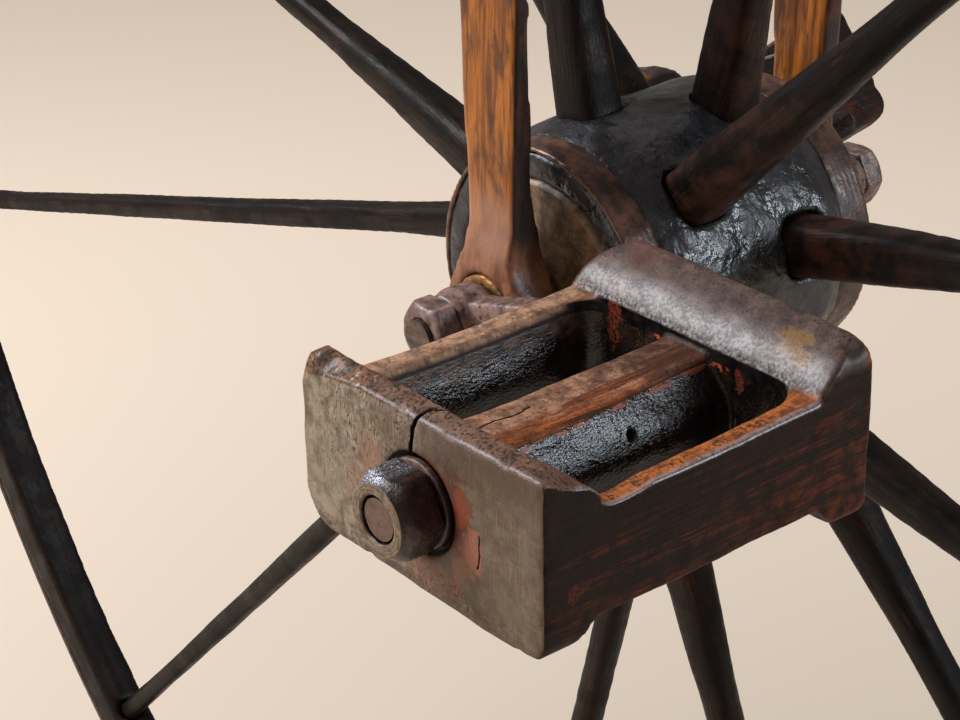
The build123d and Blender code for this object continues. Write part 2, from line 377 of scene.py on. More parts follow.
def wire_streaks(vector, width, length):
    # Wood grain or brush marks that run along Y
    along = vector_maths("DIVIDE", vector, vector_from(width, length, width))
    fine = stretched(along, 4.5, 3, 4.5)
    return cloud(along, 1, 3, 0.6, 0.35), cloud(fine, 1, 2, 0.6, 0.2)


def wire_crackle(vector, cell, line):
    # Fine crooked cracks
    return (rise(abs(cloud(vector, cell, 3, 0.6, 0.4) - 0.5), line, 0),)


def wire_grime(vector, size, share, edge):
    # Ragged patches that cover about the share of the surface
    middle = 0.68 - share * 0.36
    return (rise(cloud(vector, size, distortion=0.5), middle - edge, middle + edge),)


def wire_wrinkles(vector, size):
    # Thick old paint: soft wrinkles, and a fine grit on them
    return (cloud(vector, size, 3, 0.5, 0.4) + cloud(vector, size * 0.3, 2, 0.5) * 0.3,)


def wire_patch(vector, centre, reach, ragged):
    # One ragged patch round a centre
    away = vector_maths("LENGTH", vector_maths("DIVIDE", vector_maths("SUBTRACT", vector, centre), reach))
    return (rise(away + (cloud(vector, 3, roughness=0.66) - 0.5) * ragged, 1.12, 0.7),)


def wire_specks(vector, size, share):
    # Small spots, in some of the cells only
    node = new_node(vector.socket.id_data, "ShaderNodeTexVoronoi", feature="F1")
    feed(node.inputs["Vector"], vector_maths("DIVIDE", vector, vector_from(size, size, size)))
    node.inputs["Scale"].default_value = 1
    chance = axes_of(Field(node.outputs["Color"]))[0]
    return (rise(Field(node.outputs["Distance"]), 0.42, 0.22) * rise(chance + share, 0.98, 1.02),)


WEAR_AND_SHADE = build_effect("wear_and_hollow_shade", wire_wear_and_shade, ["Edges", "Hollow Shade"], Size=3, Reach=0.08)
STREAKS = build_effect("grain_streaks", wire_streaks, ["Streaks", "Fibres"], Width=2, Length=30)
CRACKLE = build_effect("crackle", wire_crackle, ["Cracks"], Cell=2, Line=0.04)
GRIME = build_effect("grime_patches", wire_grime, ["Grime"], Size=8, Share=0.5, Edge=0.05)
WRINKLES = build_effect("wrinkled_paint", wire_wrinkles, ["Height"], Size=2)
PATCH = build_effect("worn_patch", wire_patch, ["Patch"],
                     Centre=(0, 0, 0), Reach=(5, 5, 5), Ragged=0.8)
SPECKS = build_effect("specks", wire_specks, ["Specks"], Size=2, Share=0.3)


def spot(point, centre, reach, ragged):
    return effect(PATCH, point, Centre=centre, Reach=reach, Ragged=ragged)


class Finish:
    # A material, with where a surface point lies in millimetres and which way it faces
    def __init__(self, name, centre=Vector(), flip=1, tilt=0):
        self.material = bpy.data.materials.new(name)
        self.material.use_nodes = True
        self.tree = self.material.node_tree
        self.shader = self.tree.nodes["Principled BSDF"]
        coords = new_node(self.tree, "ShaderNodeTexCoord")
        turn = Matrix.Rotation(tilt, 3, "Y") @ Matrix.Diagonal((1 / MM, flip / MM, 1 / MM))
        self.point = self.mapped(coords.outputs["Object"], "POINT", -(turn @ centre), tilt, flip, 1 / MM)
        self.facing = self.mapped(coords.outputs["Normal"], "VECTOR", Vector(), tilt, flip, 1)

    def mapped(self, source, kind, shift, tilt, flip, scale):
        node = new_node(self.tree, "ShaderNodeMapping", vector_type=kind)
        self.tree.links.new(source, node.inputs["Vector"])
        if kind == "POINT":
            node.inputs["Location"].default_value = shift
        node.inputs["Rotation"].default_value = (0, tilt, 0)
        node.inputs["Scale"].default_value = (scale, flip * scale, scale)
        return Field(node.outputs["Vector"])

    def surface(self, size, reach, mottle, fine, roughness=0.62):
        # What most finishes start from: rubbed edges, hollow places for painted shade, and patches of two sizes
        edges, hollow_shade = effect(WEAR_AND_SHADE, self.point, Size=size, Reach=reach)
        return edges, hollow_shade, cloud(self.point, mottle), cloud(self.point, fine, roughness=roughness)

    def done(self, colour, roughness, relief, depth, metallic=0, wax=0, specular=0.5):
        bump = new_node(self.tree, "ShaderNodeBump")
        bump.inputs["Strength"].default_value = 1
        bump.inputs["Distance"].default_value = depth * MM
        feed(bump.inputs["Height"], relief)
        settings = {
            "Base Color": colour, "Roughness": roughness, "Normal": Field(bump.outputs["Normal"]),
            "Metallic": metallic, "Coat Weight": wax, "Specular IOR Level": specular,
        }
        if wax:
            settings["Coat Roughness"] = 0.3
        for label, value in settings.items():
            feed(self.shader.inputs[label], value)
        return self.material


def pedal_finish(name, side, tilt=0):
    # Its points are read as on the pedal: x forward, u in from the outer face, z up
    return Finish(f"{name}_{side}", PEDAL[side], -SIDES[side], tilt)


# Finishes

def floor_paper():
    # Cream paper that lights itself for the camera and in reflections, most of all far out
    paper = bpy.data.materials.new("floor_paper")
    paper.use_nodes = True
    tree = paper.node_tree
    shader = tree.nodes["Principled BSDF"]
    coords = new_node(tree, "ShaderNodeTexCoord")
    rays = new_node(tree, "ShaderNodeLightPath")
    seen = Field(rays.outputs["Is Camera Ray"])
    mirrored = larger(Field(rays.outputs["Is Glossy Ray"]), Field(rays.outputs["Is Transmission Ray"]))
    away = radius_of(*axes_of(Field(coords.outputs["Object"]))[:2])
    far_out = rise(away, 1.8, 3.4)
    cream = mix(CREAM_NEAR, CREAM_FAR, rise(away, 0.3, 1.4))
    feed(shader.inputs["Base Color"], mix(cream, CREAM_UNLIT, far_out))
    shader.inputs["Roughness"].default_value = 0.9
    shader.inputs["Specular IOR Level"].default_value = 0.1
    feed(shader.inputs["Emission Color"], cream)
    glow = mirrored * PAPER_GLOW + seen * (far_out * GLOW_FARTHER_OUT + PAPER_GLOW)
    feed(shader.inputs["Emission Strength"], glow)
    return paper


# Rubbed patches on the pedal's outer face: place and reach as (x, z), colour, strength
FACE_PATCHES = [
    ((-34, -6), (9, 14), (150, 136, 116), 0.5), ((-17.5, 5), (5, 8), (156, 108, 84), 0.75),
    ((-23.5, -5), (3.5, 6.5), (156, 114, 92), 0.7), ((-9, 15.5), (8.5, 4.5), (112, 82, 62), 0.8),
    ((14, 15.5), (11, 4.5), (92, 74, 60), 0.75), ((31, 18.5), (11, 4.5), (90, 71, 54), 0.8),
    ((5, -18), (11, 4.4), (146, 98, 76), 0.8), ((17, -5.5), (6.5, 7), (158, 100, 76), 0.9),
    ((14, 4), (5.6, 11), (92, 44, 31), 1), ((11.5, 11), (3, 6), (88, 66, 54), 0.9),
    ((16, 6), (3, 6), (158, 72, 44), 0.8), ((20, -4), (3.6, 5.6), (176, 108, 82), 0.7),
    ((14, -14), (2.2, 5), (166, 106, 82), 0.7), ((33, -15), (8, 5), (128, 108, 88), 0.5),
]


def end_grain(point, x, z, mottle, fine, crackle):
    # Outer face: grey-olive, with pinkish and red patches where the paint is rubbed through
    # Paler in random patches, and paler towards the left end of the face: painted light, as if lit from the left
    paler_and_lit_left = capped(rise(mottle, 0.3, 0.68) * rise(x, 32, -34) + rise(mottle, 0.3, 0.7) * 0.3)
    hatch = cloud(stretched(point, 0.16, 0.3, 1.9), 1, 3, 0.6)
    scratches = cloud(stretched(point, 1.6, 0.3, 0.09), 1, 3, 0.55)
    olive = coated(
        mix((92, 76, 61), (160, 142, 121), paler_and_lit_left),
        ((82, 64, 52), rise(about(z, mottle, 16), 12, 20) * rise(x, -2, 6) * 0.5),
        ((84, 67, 53), rise(hatch, 0.5, 0.66) * rise(x, 14, 30) * 0.6),
        ((152, 112, 88), rise(scratches, 0.57, 0.68) * rise(x, 4, 26) * 0.55),
    )
    pink = effect(GRIME, point, Size=6, Share=0.42, Edge=0.08)
    showing = 0.3 + pink * 0.2 + rise(scratches * 0.5 + fine * 0.5, 0.4, 0.56) * 0.5
    for (middle_x, middle_z), (reach_x, reach_z), tone, strength in FACE_PATCHES:
        patch = spot(point, (middle_x, 0, middle_z), (reach_x, 9, reach_z), 2.2)
        olive = mix(olive, tone, patch * showing * strength)
    ticks = cloud(stretched(point, 1.9, 0.4, 0.34), 1, 4, 0.66, 0.3)
    rough_left = rise(x, 6, -6) * rise(x, -43, -30) * rise(z, -22, 6)
    rough_left = rough_left + spot(point, (4, 0, -20), (22, 9, 6), 0.8)
    nicks = rise(ticks, 0.6, 0.66) * capped(rough_left) + rise(ticks, 0.68, 0.72) * 0.7
    nicks = capped(nicks + crackle * rise(mottle, 0.46, 0.6) * rough_left * 0.8)
    rim = rise(abs(x), 41, 43.5) * 0.6 + rise(z, -19, -23.5) * 0.8
    from_hole = radius_of(x, z)
    olive = coated(
        olive,
        ((44, 33, 26), nicks * 0.85),
        ((108, 74, 58), rim * rise(fine, 0.35, 0.6)),
        ((66, 50, 40), rise(z, -14, -22) * rise(fine * 0.5 + mottle * 0.5, 0.56, 0.42) * 0.7),
        ((104, 48, 34), rise(from_hole, 16, 13.2) * rise(x, -3, 5) * rise(mottle, 0.36, 0.5)),
        # Near-black inside the washer's seat round the spindle hole: painted shade in the gap round the washer
        ((14, 9, 8), rise(from_hole, 13.4, 12.7)),
    )
    return olive, nicks


def plate_edge(x, u, streaks, mottle, fine, specks):
    # The outer plate's worn top edge
    return coated(
        mix((80, 58, 45), (126, 94, 76), rise(mottle * 0.6 + fine * 0.4, 0.38, 0.6)),
        ((66, 46, 34), rise(x, -4, -26) * rise(mottle, 0.64, 0.4) * 0.85),
        ((134, 88, 42), rise(x, -8, -26) * rise(fine * 0.7 + mottle * 0.3, 0.48, 0.62) * 0.7),
        ((140, 88, 64), rise(streaks, 0.52, 0.66) * 0.5),
        ((204, 188, 176), specks * rise(mottle, 0.46, 0.56) * rise(x, 8, -4) * 0.7),
        ((38, 26, 21), rise(fine, 0.45, 0.38) * 0.75),
        # Purple-grey along the very outer top edge: a painted highlight
        ((132, 118, 116), rise(u, 2, 0) * rise(x, -10, 4) * 0.5),
        ((120, 66, 38), rise(u, 8, 15) * 0.8),
    )


def bar_top(x, u, streaks, fibres, grime, mottle, fine, crackle):
    # Bar: dusty towards the back, bare orange wood along the front edge
    orange = mix((110, 56, 30), (178, 100, 52), rise(fibres * 0.6 + mottle * 0.4, 0.4, 0.62))
    orange = mix(orange, (44, 27, 20), rise(streaks + fibres, 1, 1.16) * 0.85)
    return coated(
        mix((120, 82, 62), (180, 132, 104), rise(mottle, 0.36, 0.62)),
        ((72, 48, 38), grime * rise(u, 22, 74) * 0.85),
        (orange, rise(about(x, streaks, 26), -0.5, 4)),
        ((36, 26, 22), rise(fine + crackle * 0.2, 0.62, 0.7) * 0.6),
        ((70, 42, 32), rise(u, 58, 80) * 0.65),
    )


def rear_rail_top(x, streaks, grime, mottle, fine, specks):
    # Rubbed pinkish
    return coated(
        mix((118, 88, 70), (184, 142, 114), rise(mottle, 0.34, 0.6)),
        ((98, 80, 60), rise(x, -38, -34.5) * grime * 0.8),
        ((206, 172, 138), specks * 0.6),
        ((64, 46, 38), rise(fine, 0.42, 0.35) * 0.7),
        ((150, 84, 46), rise(streaks, 0.48, 0.62) * rise(x, -40, -37.5) * 0.7),
    )


def front_rail_top(streaks, grime, mottle, fine):
    # Orange, with dark grime
    return coated(
        mix((112, 62, 36), (186, 106, 52), rise(mottle * 0.5 + streaks * 0.5, 0.4, 0.6)),
        ((64, 40, 30), grime * rise(fine, 0.4, 0.6) * 0.9),
        ((58, 36, 28), rise(fine * 0.5 + mottle * 0.5, 0.55, 0.64) * 0.7),
    )


def inner_plate_top(point, x, u, grime, mottle, fine, crackle):
    # Grey-lilac, with ochre patches, and orange along its back edge
    ochre = (138, 98, 46)
    showing = rise(fine, 0.3, 0.5)
    return coated(
        mix((64, 47, 43), (100, 79, 72), rise(mottle, 0.34, 0.66)),
        ((34, 25, 24), rise(fine, 0.55, 0.66) * 0.85),
        ((44, 33, 31), crackle * rise(mottle, 0.4, 0.56) * 0.7),
        ((92, 60, 46), rise(x, 8, -30) * grime * 0.6),
        (ochre, spot(point, (28, 94, 23.3), (5, 4, 6), 3) * showing * 0.75),
        (ochre, spot(point, (33, 91.5, 20), (3.5, 3, 3.5), 3) * showing * 0.75),
        ((150, 76, 42), rise(about(u, mottle, 4), 102.2, 104) * 0.9),
    )


def slot_rub(point):
    # Red-brown wood where the paint is gone, high on the slots' inner walls
    behind = spot(point, (-28, 87, 8.5), (2.6, 5, 7.5), 3.4)
    beside = spot(point, (17, 87, 8), (1.4, 4, 4), 3.2)
    return larger(behind, beside) * rise(cloud(point, 0.8, 3, 0.6), 0.36, 0.54)


# Inside the oil hole, which the finishes paint near-black as shade
def oil_hole_shade(point):
    return spot(point, (9.5, 55.3, 2.7), (5, 2.2, 2.2), 0.3)


def pedal_wood(side):
    finish = pedal_finish("pedal_wood", side, PEDAL_TILT[side])
    point = finish.point
    x, u, z = axes_of(point)
    _, facing_in, facing_up = axes_of(finish.facing)
    edges, hollow_shade, mottle, fine = finish.surface(2.2, 0.07, 4.5, 0.9, 0.6)
    streaks, fibres = effect(STREAKS, point, Width=2.4, Length=55)
    grime = effect(GRIME, point, Size=8, Share=0.5, Edge=0.06)
    crackle = effect(CRACKLE, stretched(point, 1, 0.5, 0.55), Cell=2.2, Line=0.03)
    specks = effect(SPECKS, point, Size=1.7, Share=0.35)

    # The parts of the block
    upward = rise(facing_up, 0.45, 0.72)
    turned = rise(about(z, fine, 2) + rise(x, -20, -44) * 5, 22.3, 23.3)
    face = rise(facing_in, -0.74, -0.9) * rise(u, 4, 3) * (1 - turned)
    window = rise(u, 8, 9.5) * rise(u, 88, 85)
    bar = rise(abs(x), 14.5, 13) * window * rise(facing_up, 0.6, 0.82)
    rear_rail = rise(x, -33, -35) * window * upward
    front_rail = rise(x, 33, 35) * rise(u, 14, 21) * rise(u, 89, 86) * upward
    slots = rise(abs(x), 38.6, 37.6) * rise(u, 6.5, 8) * rise(u, 96, 90) * rise(facing_up, 0.5, 0.2)
    plate_top = rise(u, 83, 87) * rise(facing_up, 0.02, 0.3) * rise(about(z, fine, 9), 12.6, 16)
    band = larger(rise(u, 9, 7), rise(u, 21, 15) * rise(abs(x), 33, 35))
    band = larger(band * rise(facing_up, 0.22, 0.5) * rise(z, 7, 12), turned * rise(u, 6, 4))
    rail_edge = rise(x, 42.4, 43.6) * rise(z, 8, 11) * window * rise(facing_up, 0.1, 0.4)

    # Dark stained wood with long red-brown streaks, most of them low on the inner half, then part by part
    redder = rise(streaks * 0.72 + fibres * 0.28 + (u - 45) * 0.0018 - z * 0.006, 0.46, 0.74)
    front_scar = spot(point, (44.5, 9.5, -7), (4, 3, 2.4), 2.8)
    olive, nicks = end_grain(point, x, z, mottle, fine, crackle)
    black = mix((12, 10, 11), (32, 26, 26), rise(mottle, 0.4, 0.66))
    colour = coated(
        mix((30, 16, 11), (104, 48, 26), redder * rise(mottle, 0.34, 0.64)),
        ((15, 10, 9), rise(fibres, 0.5, 0.36) * 0.8),
        ((112, 66, 48), edges * 0.5),
        ((104, 44, 34), front_scar * rise(fine, 0.4, 0.55) * 0.7),
        (olive, face),
        (plate_edge(x, u, streaks, mottle, fine, specks), band),
        (bar_top(x, u, streaks, fibres, grime, mottle, fine, crackle), bar),
        (rear_rail_top(x, streaks, grime, mottle, fine, specks), rear_rail),
        (front_rail_top(streaks, grime, mottle, fine), front_rail),
        # Pale blue-grey along the front rail's outer top edge: a painted highlight
        ((160, 146, 146), rail_edge * rise(fine, 0.36, 0.6) * 0.8),
        (inner_plate_top(point, x, u, grime, mottle, fine, crackle), plate_top),
        (mix(black, (122, 54, 36), slot_rub(point) * 0.8), slots),
        ((176, 88, 40), edges * rise(x, 5, 9) * rise(x, 14, 12) * window * upward * 0.8),
        # Painted shade in the hollow places
        ((15, 10, 9), hollow_shade * 0.75),
        # Painted shade inside the oil hole
        ((5, 4, 4), oil_hole_shade(point)),
    )
    gloss = mix_number(about(0.56, fine, 0.3), 0.2, slots)
    gloss = mix_number(gloss, about(0.46, fine, 0.4), plate_top)
    gloss = mix_number(gloss, about(0.52, mottle, 0.3), face)
    gloss = mix_number(gloss, about(0.45, fine, 0.5), band)
    waxed = plate_top * (0.1 + rise(fine * 0.7 + mottle * 0.3, 0.42, 0.6) * 0.5) * rise(abs(x), 46, 40)
    wax = waxed * rise(z, 22.5, 18) + plate_top * 0.12 + band * 0.3 + rail_edge + face * 0.1 + bar * 0.15
    relief = (fine * 0.35 + streaks * 0.35) * (1 - plate_top * 0.35)
    relief = relief - nicks * face * 0.9 - crackle * bar * 0.3 - rise(fine, 0.46, 0.36) * band * 0.4
    relief = relief + fibres * bar * 0.5 + mottle * 0.3
    return finish.done(colour, gloss, relief, 0.42, wax=capped(wax), specular=0.17)


def slot_paint(side):
    # Thick black paint in the slots: hard gloss over a fine grit that runs along the bar
    finish = pedal_finish("slot_paint", side, PEDAL_TILT[side])
    point = finish.point
    x, _, z = axes_of(point)
    along = stretched(point, 1, 0.55, 1)
    mottle = cloud(point, 6, roughness=0.6)
    grit = cloud(along, 0.72, 3, 0.6)
    folds = cloud(along, 3, 2, 0.5)
    ragged = cloud(stretched(point, 1, 0.22, 1), 1.6)
    bared = rise(about(z, ragged, 9), 9.4, 10.1) * rise(abs(x), 14, 12)
    worn = rise(x, -31, -34.5) * rise(about(z, ragged, 12), 3, 8.5)
    colour = coated(
        mix((13, 9, 8), (38, 25, 20), rise(mottle, 0.4, 0.66)),
        ((128, 62, 38), rise(grit, 0.62, 0.68) * rise(mottle, 0.5, 0.6) * 0.8),
        ((112, 54, 38), slot_rub(point) * 0.75),
        (mix((96, 46, 26), (172, 84, 40), rise(ragged, 0.4, 0.6)), bared),
        (mix((50, 40, 38), (110, 80, 62), rise(mottle, 0.4, 0.6)), worn * 0.85),
        # Painted shade inside the oil hole
        ((5, 4, 4), oil_hole_shade(point)),
    )
    gloss = about(0.1 + rise(z, 0, -9) * 0.35, mottle, 0.15) + (bared + worn) * 0.3
    return finish.done(colour, gloss, grit + folds * 0.9, 0.24, specular=0.48)


def streaked_varnish():
    # Fork: amber varnish with dark runs down it, and painted shade on its narrow sides
    finish = Finish("streaked_varnish", AXLE)
    point = finish.point
    x, y, z = axes_of(point)
    sideways = abs(axes_of(finish.facing)[1])
    edges, hollow_shade = effect(WEAR_AND_SHADE, point, Size=4, Reach=0.1)
    streaks, fibres = effect(STREAKS, vector_from(x, z, y), Width=5, Length=60)
    grime = effect(GRIME, stretched(point, 1, 1, 0.4), Size=11, Share=0.42, Edge=0.07)
    mottle = cloud(stretched(point, 1, 1, 0.5), 6, 5, 0.6)
    fine = cloud(point, 1.2, roughness=0.6)
    from_axle = radius_of(x, z)
    eye = rise(from_axle, 30, 18)
    knee_highlight = rise(from_axle, 16, 24) * rise(from_axle, 44, 30)
    colour = coated(
        mix((98, 50, 20), (176, 102, 32), rise(streaks, 0.36, 0.64)),
        ((70, 38, 20), rise(fibres, 0.48, 0.64) * 0.65),
        ((66, 38, 24), grime * rise(mottle, 0.42, 0.62) * 0.75),
        # Narrow sides, facing across the leg: darker as painted shade, with a red-brown mottle
        (mix((40, 26, 24), (96, 44, 30), rise(mottle, 0.48, 0.66)), rise(sideways, 0.86, 0.6)),
        (mix((116, 74, 54), (164, 112, 84), rise(mottle, 0.4, 0.6)), eye * 0.8),
        # Pale pink where the leg bends out to its eye: a painted highlight
        ((172, 132, 112), knee_highlight * rise(sideways, 0.6, 0.95) * 0.5),
        ((150, 96, 60), edges * 0.6),
        # Painted shade in the hollow places
        ((30, 20, 18), hollow_shade * 0.7),
    )
    relief = mottle * 0.8 + fine * 0.35 + streaks * 0.4 - grime * 0.15
    return finish.done(colour, about(0.34, fine, 0.35) + grime * 0.12, relief, 0.4, specular=0.35)


def old_iron(name, dark, light, brown, shine):
    # Oiled wrought iron: brown-black, rubbed bright on its edges
    finish = Finish(name)
    edges, hollow_shade, mottle, fine = finish.surface(2, 0.09, 5, 0.8)
    grime = effect(GRIME, finish.point, Size=7, Share=brown, Edge=0.07)
    specks = effect(SPECKS, finish.point, Size=2.4, Share=0.25)
    colour = coated(
        mix(dark, light, rise(mottle, 0.36, 0.64)),
        ((100, 60, 38), grime * rise(fine, 0.4, 0.62) * 0.7),
        ((22, 18, 18), specks * 0.7),
        ((148, 124, 104), edges * 0.55),
        # Painted shade in the hollow places
        ((20, 15, 14), hollow_shade * 0.8),
    )
    relief = mottle * 0.7 + fine * 0.45 - specks * 0.35
    return finish.done(colour, about(shine, fine, 0.35) + grime * 0.1, relief, 0.35, metallic=edges * 0.6)


def nut_iron(side):
    # Pedal nut: ringed olive-brown front, dark red-brown flanks, and one hammered upper facet with a painted
    # bluish-white highlight
    finish = pedal_finish("nut_iron", side)
    x, _, z = axes_of(finish.point)
    _, facing_in, facing_up = axes_of(finish.facing)
    from_middle = radius_of(x, z)
    edges, hollow_shade, mottle, fine = finish.surface(1.2, 0.08, 2.2, 0.45)
    folds = effect(WRINKLES, finish.point, Size=1)
    rings = maths("SINE", from_middle * 6 + mottle * 9) * 0.5 + 0.5
    ringed = rings * rise(from_middle, 5, 6)
    on_spindle = rise(from_middle, 5.6, 4.6)
    front = rise(facing_in, -0.55, -0.85)
    facet = rise(facing_up, 0.3, 0.65) * rise(x, 3, -0.5) * (1 - front) * rise(from_middle, 7, 8)
    olive = coated(
        mix((84, 62, 46), (144, 120, 94), rise(mottle * 0.9 + ringed * 0.12, 0.32, 0.66)),
        ((104, 76, 58), on_spindle * 0.7),
        ((46, 30, 23), rise(fine, 0.5, 0.64) * (0.75 + on_spindle * 0.2)),
        ((62, 43, 34), rise(mottle, 0.48, 0.6) * on_spindle * 0.7),
    )
    colour = coated(
        mix((26, 12, 10), (60, 29, 21), rise(mottle, 0.42, 0.66)),
        (olive, front),
        # Bluish-white on the upper rear facet: a painted highlight, on metal
        (mix((82, 74, 78), (190, 194, 208), rise(fine, 0.44, 0.62)), facet * 0.85),
        ((140, 100, 78), edges * 0.5),
        # Painted shade in the hollow places
        ((24, 15, 12), hollow_shade * 0.8),
    )
    gloss = mix_number(about(0.26, fine, 0.3), about(0.5, mottle, 0.3), front)
    relief = folds * (0.25 + facet * 0.9) + ringed * front * 0.2 + fine * 0.5 + mottle * 0.4
    return finish.done(colour, gloss, relief, 0.3, metallic=facet * 0.75)


def washer_iron(side):
    # Reddish iron, with painted shade on the front, lower half of its rim
    finish = pedal_finish("washer_iron", side)
    x, _, z = axes_of(finish.point)
    edges, hollow_shade, mottle, fine = finish.surface(1.5, 0.08, 3, 0.6, 0.6)
    colour = coated(
        mix((72, 48, 41), (122, 92, 80), rise(mottle, 0.38, 0.62)),
        ((52, 34, 28), rise(fine, 0.58, 0.7) * 0.8),
        # Darker on the front, lower side of the rim: painted shade
        ((40, 22, 18), rise(x - z * 0.4, 0, 6) * 0.85),
        # Painted shade in the hollow places
        ((28, 18, 16), hollow_shade * 0.8),
    )
    return finish.done(colour, about(0.42, fine, 0.3), mottle * 0.6 + fine * 0.4, 0.25, metallic=edges * 0.4)


def black_paint():
    # Nave: thick black paint gone lumpy, with grey dust on its upper faces and painted shade in its hollow places
    finish = Finish("black_paint", AXLE)
    edges, hollow_shade, mottle, fine = finish.surface(5, 0.1, 7, 1)
    folds = effect(WRINKLES, finish.point, Size=7)
    grime = effect(GRIME, finish.point, Size=14, Share=0.45, Edge=0.09)
    facing_up = axes_of(finish.facing)[2]
    colour = coated(
        mix((17, 16, 18), (40, 38, 42), rise(mottle, 0.36, 0.66)),
        ((70, 66, 68), grime * rise(fine, 0.42, 0.66) * rise(facing_up, -0.1, 0.4) * 0.35),
        ((88, 56, 44), edges * rise(mottle, 0.5, 0.62) * 0.7),
        # Painted shade in the hollow places
        ((12, 10, 11), hollow_shade * 0.6),
    )
    relief = folds * 0.9 + mottle * 0.4 + fine * 0.04
    return finish.done(colour, about(0.27 + grime * 0.18, mottle, 0.2), relief, 1.1, specular=0.6)


def brown_varnish(name, dark, light, shine):
    # Hub rings, caps and bushes: smooth metal under old varnish
    finish = Finish(name, AXLE)
    x, y, z = axes_of(finish.point)
    edges, hollow_shade, mottle, fine = finish.surface(3, 0.09, 6, 0.9)
    grime = effect(GRIME, finish.point, Size=10, Share=0.45, Edge=0.08)
    turned = maths("SINE", radius_of(x, z) * 3 + y * 3) * 0.5 + 0.5
    colour = coated(
        mix(dark, light, rise(mottle, 0.36, 0.64)),
        ((36, 27, 24), grime * rise(fine, 0.36, 0.6) * 0.65),
        ((150, 112, 80), edges * 0.5),
        # Painted shade in the hollow places
        ((20, 15, 13), hollow_shade * 0.8),
    )
    gloss = about(shine, fine, 0.3) + grime * 0.15
    return finish.done(colour, gloss, mottle * 0.7 + fine * 0.3 + turned * 0.1, 0.3, metallic=edges * 0.5)


def wheel_wood(name, grain_radius, along_rim):
    # Spokes and felloes: dark stained ash, grain out along each spoke or round the rim
    finish = Finish(name, AXLE)
    x, y, z = axes_of(finish.point)
    from_axle = radius_of(x, z)
    round_axle = maths("ARCTAN2", z, x) * grain_radius
    grain = vector_from(from_axle, round_axle, y) if along_rim else vector_from(round_axle, from_axle, y)
    edges, hollow_shade, mottle, fine = finish.surface(6, 0.12, 9, 1.1, 0.6)
    streaks, fibres = effect(STREAKS, grain, Width=5, Length=120)
    grime = effect(GRIME, grain, Size=16, Share=0.45, Edge=0.08)
    colour = coated(
        mix((11, 8, 7), (36, 25, 20), rise(streaks, 0.36, 0.66)),
        ((88, 55, 42), rise(fibres, 0.5, 0.68) * rise(mottle, 0.42, 0.64) * 0.35),
        ((17, 13, 12), grime * 0.6),
        ((108, 74, 58), edges * 0.5),
    )
    if not along_rim:
        foot = rise(from_axle, 125, 62) * rise(x, 0, 40)
        colour = mix(colour, (84, 48, 36), foot * rise(mottle, 0.4, 0.6) * 0.5)
    # Painted shade in the hollow places
    colour = mix(colour, (18, 14, 14), hollow_shade * 0.7)
    relief = streaks * 0.5 + fibres * 0.4 + mottle * 0.4 + fine * 0.15
    return finish.done(colour, about(0.42, fine, 0.3) + grime * 0.12, relief, 0.45, specular=0.13)


# Making pieces

def copy_of(node):
    # The CAD node's mesh, its corners merged, ready for work
    form = bmesh.new()
    form.from_mesh(nodes[node].data)
    bmesh.ops.remove_doubles(form, verts=form.verts, dist=0.000002)
    return form


def with_modifier(form, kind, **settings):
    # Gives back the form with one modifier applied
    obj = as_object(form, "work")
    modifier = obj.modifiers.new("work", kind)
    for name, value in settings.items():
        setattr(modifier, name, value)
    graph = bpy.context.evaluated_depsgraph_get()
    done = bpy.data.meshes.new_from_object(obj.evaluated_get(graph))
    result = bmesh.new()
    result.from_mesh(done)
    discard(obj)
    bpy.data.meshes.remove(done)
    return result


def fine_skin(form, size_mm):
    # Even small faces all over, so that the form can be worn and dented
    return with_modifier(form, "REMESH", mode="VOXEL", voxel_size=size_mm * MM)


def soften(form, times):
    for _ in range(times):
        bmesh.ops.smooth_vert(form, verts=form.verts, factor=0.5,
                              use_axis_x=True, use_axis_y=True, use_axis_z=True)


def make_lumpy(form, rows, seed):
    # Pushes the surface in and out, by rows of (size of the lumps, height) in mm
    form.normal_update()
    shifts = []
    for vert in form.verts:
        push = 0
        for size, height in rows:
            push += height * noise.noise(vert.co / (size * MM) + Vector((seed, size, 0)))
        shifts.append(vert.normal * (push * MM))
    for vert, shift in zip(form.verts, shifts):
        vert.co += shift


def cut_away(form, cutter):
    # Takes the cutter's shape out of the form
    bmesh.ops.recalc_face_normals(cutter, faces=cutter.faces)
    tool = as_object(cutter, "cutter")
    result = with_modifier(form, "BOOLEAN", object=tool, operation="DIFFERENCE", solver="MANIFOLD")
    discard(tool)
    return result


def round_off(form, edges, size_mm):
    bmesh.ops.bevel(form, geom=edges, offset=size_mm * MM, segments=2, profile=0.5,
                    affect="EDGES", material=-1)


def finish_piece(name, form, body, finish):
    piece = as_object(form, name)
    piece.data.shade_smooth()
    piece.data.materials.append(FINISH[finish])
    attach(piece, body)
    return piece


def stand_for(node, form, finish, name=None):
    # Shows the form in place of its CAD node, on the same body, with the finish given
    piece = finish_piece(name or f"{node}_worn", form, body_of[node], finish)
    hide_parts(node)
    return piece


def worn_piece(node, finish, skin_mm, lumps, softness, seed=0):
    # A CAD node with its edges rounded by wear and its faces a little uneven
    form = fine_skin(copy_of(node), skin_mm)
    soften(form, softness)
    make_lumpy(form, lumps, seed)
    stand_for(node, form, finish)


# Pedals, worked in their own millimetres: x forward, u in from the outer face, z up

class PedalPlace:
    def __init__(self, side):
        self.centre = PEDAL[side]
        turn = Matrix.Rotation(-PEDAL_TILT[side], 3, "Y")
        inward = Vector((0, -SIDES[side], 0))
        axes = Matrix((turn @ Vector((1, 0, 0)), inward, turn @ Vector((0, 0, 1))))
        self.to_pedal = axes * (1 / MM)
        self.to_world = axes.transposed() * MM

    def own(self, point):
        return self.to_pedal @ (point - self.centre)

    def world(self, point):
        return self.centre + self.to_world @ Vector(point)


